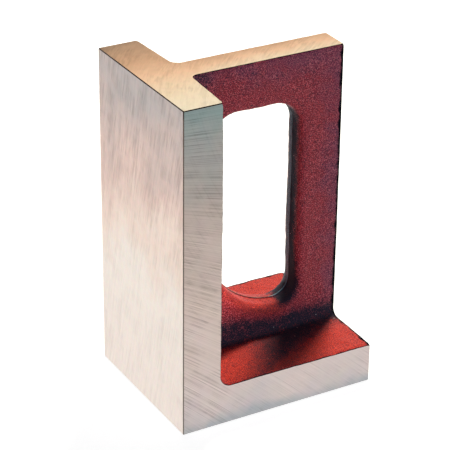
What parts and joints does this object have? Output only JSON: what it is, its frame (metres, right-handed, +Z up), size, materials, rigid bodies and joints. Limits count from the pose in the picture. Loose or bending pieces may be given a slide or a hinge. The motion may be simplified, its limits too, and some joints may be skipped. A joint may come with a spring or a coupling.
{
  "type": "angle plate",
  "caption": "Right-angle iron plate: an upright and a foot joined by a central web with a window, ground square outside and painted red inside, for holding work square.",
  "frame": {"origin": "middle of the ground underside, on the surface the plate stands on", "axes": "+X along the foot, away from the upright's working face; +Y from the pictured side to the back; +Z up along the upright"},
  "size_m": [0.127, 0.1016, 0.2032],
  "materials": {
    "ground_iron": "sand-cast grey iron: outer faces surface ground, and web, window and recesses painted dark red over the cast skin"
  },
  "bodies": {
    "root": {"angle_plate": "ground_iron"}
  },
  "joints": []
}
